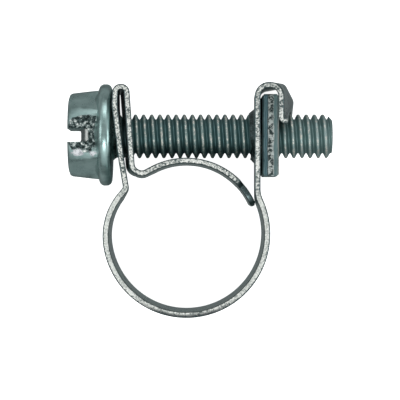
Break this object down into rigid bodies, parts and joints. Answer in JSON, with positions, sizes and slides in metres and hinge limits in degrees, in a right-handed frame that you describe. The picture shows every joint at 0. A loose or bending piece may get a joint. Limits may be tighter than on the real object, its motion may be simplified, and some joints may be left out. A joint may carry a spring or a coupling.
{
  "type": "hose clamp",
  "caption": "Nut-and-bolt hose clamp: a folded steel strip round a small hose, closed by a slotted hexagon flange screw and a square nut.",
  "frame": {"origin": "on the axis of the hose, level with the lower edge of the strip that the clamp rests on", "axes": "+Z along the hose, up when the clamp lies flat; +X along the screw from its head to its tip; +Y from the hose's axis to the screw"},
  "size_m": [0.0226, 0.0203, 0.009],
  "materials": {
    "band": "bright zinc plate, rough sheared edges",
    "screw": "zinc plate, slightly blue-green",
    "nut": "zinc plate, satin, sheared edge faces"
  },
  "bodies": {
    "band": {"band": "band"},
    "screw": {"screw": "screw"},
    "nut": {"nut": "nut"}
  },
  "joints": [
    {"name": "screw_turn", "type": "hinge", "parent": "band", "child": "screw", "pos_m": [0, 0.00837, 0.0045], "axis": [1, 0, 0], "range_deg": [-1262, 1082]},
    {"name": "nut_travel", "type": "slide", "parent": "band", "child": "nut", "axis": [-1, 0, 0], "range_m": [-0.00245, 0.0021], "deforming": ["band"]}
  ],
  "couplings": [
    {"joint": "screw_turn", "follows": "nut_travel", "rad_per_m": 8976}
  ]
}
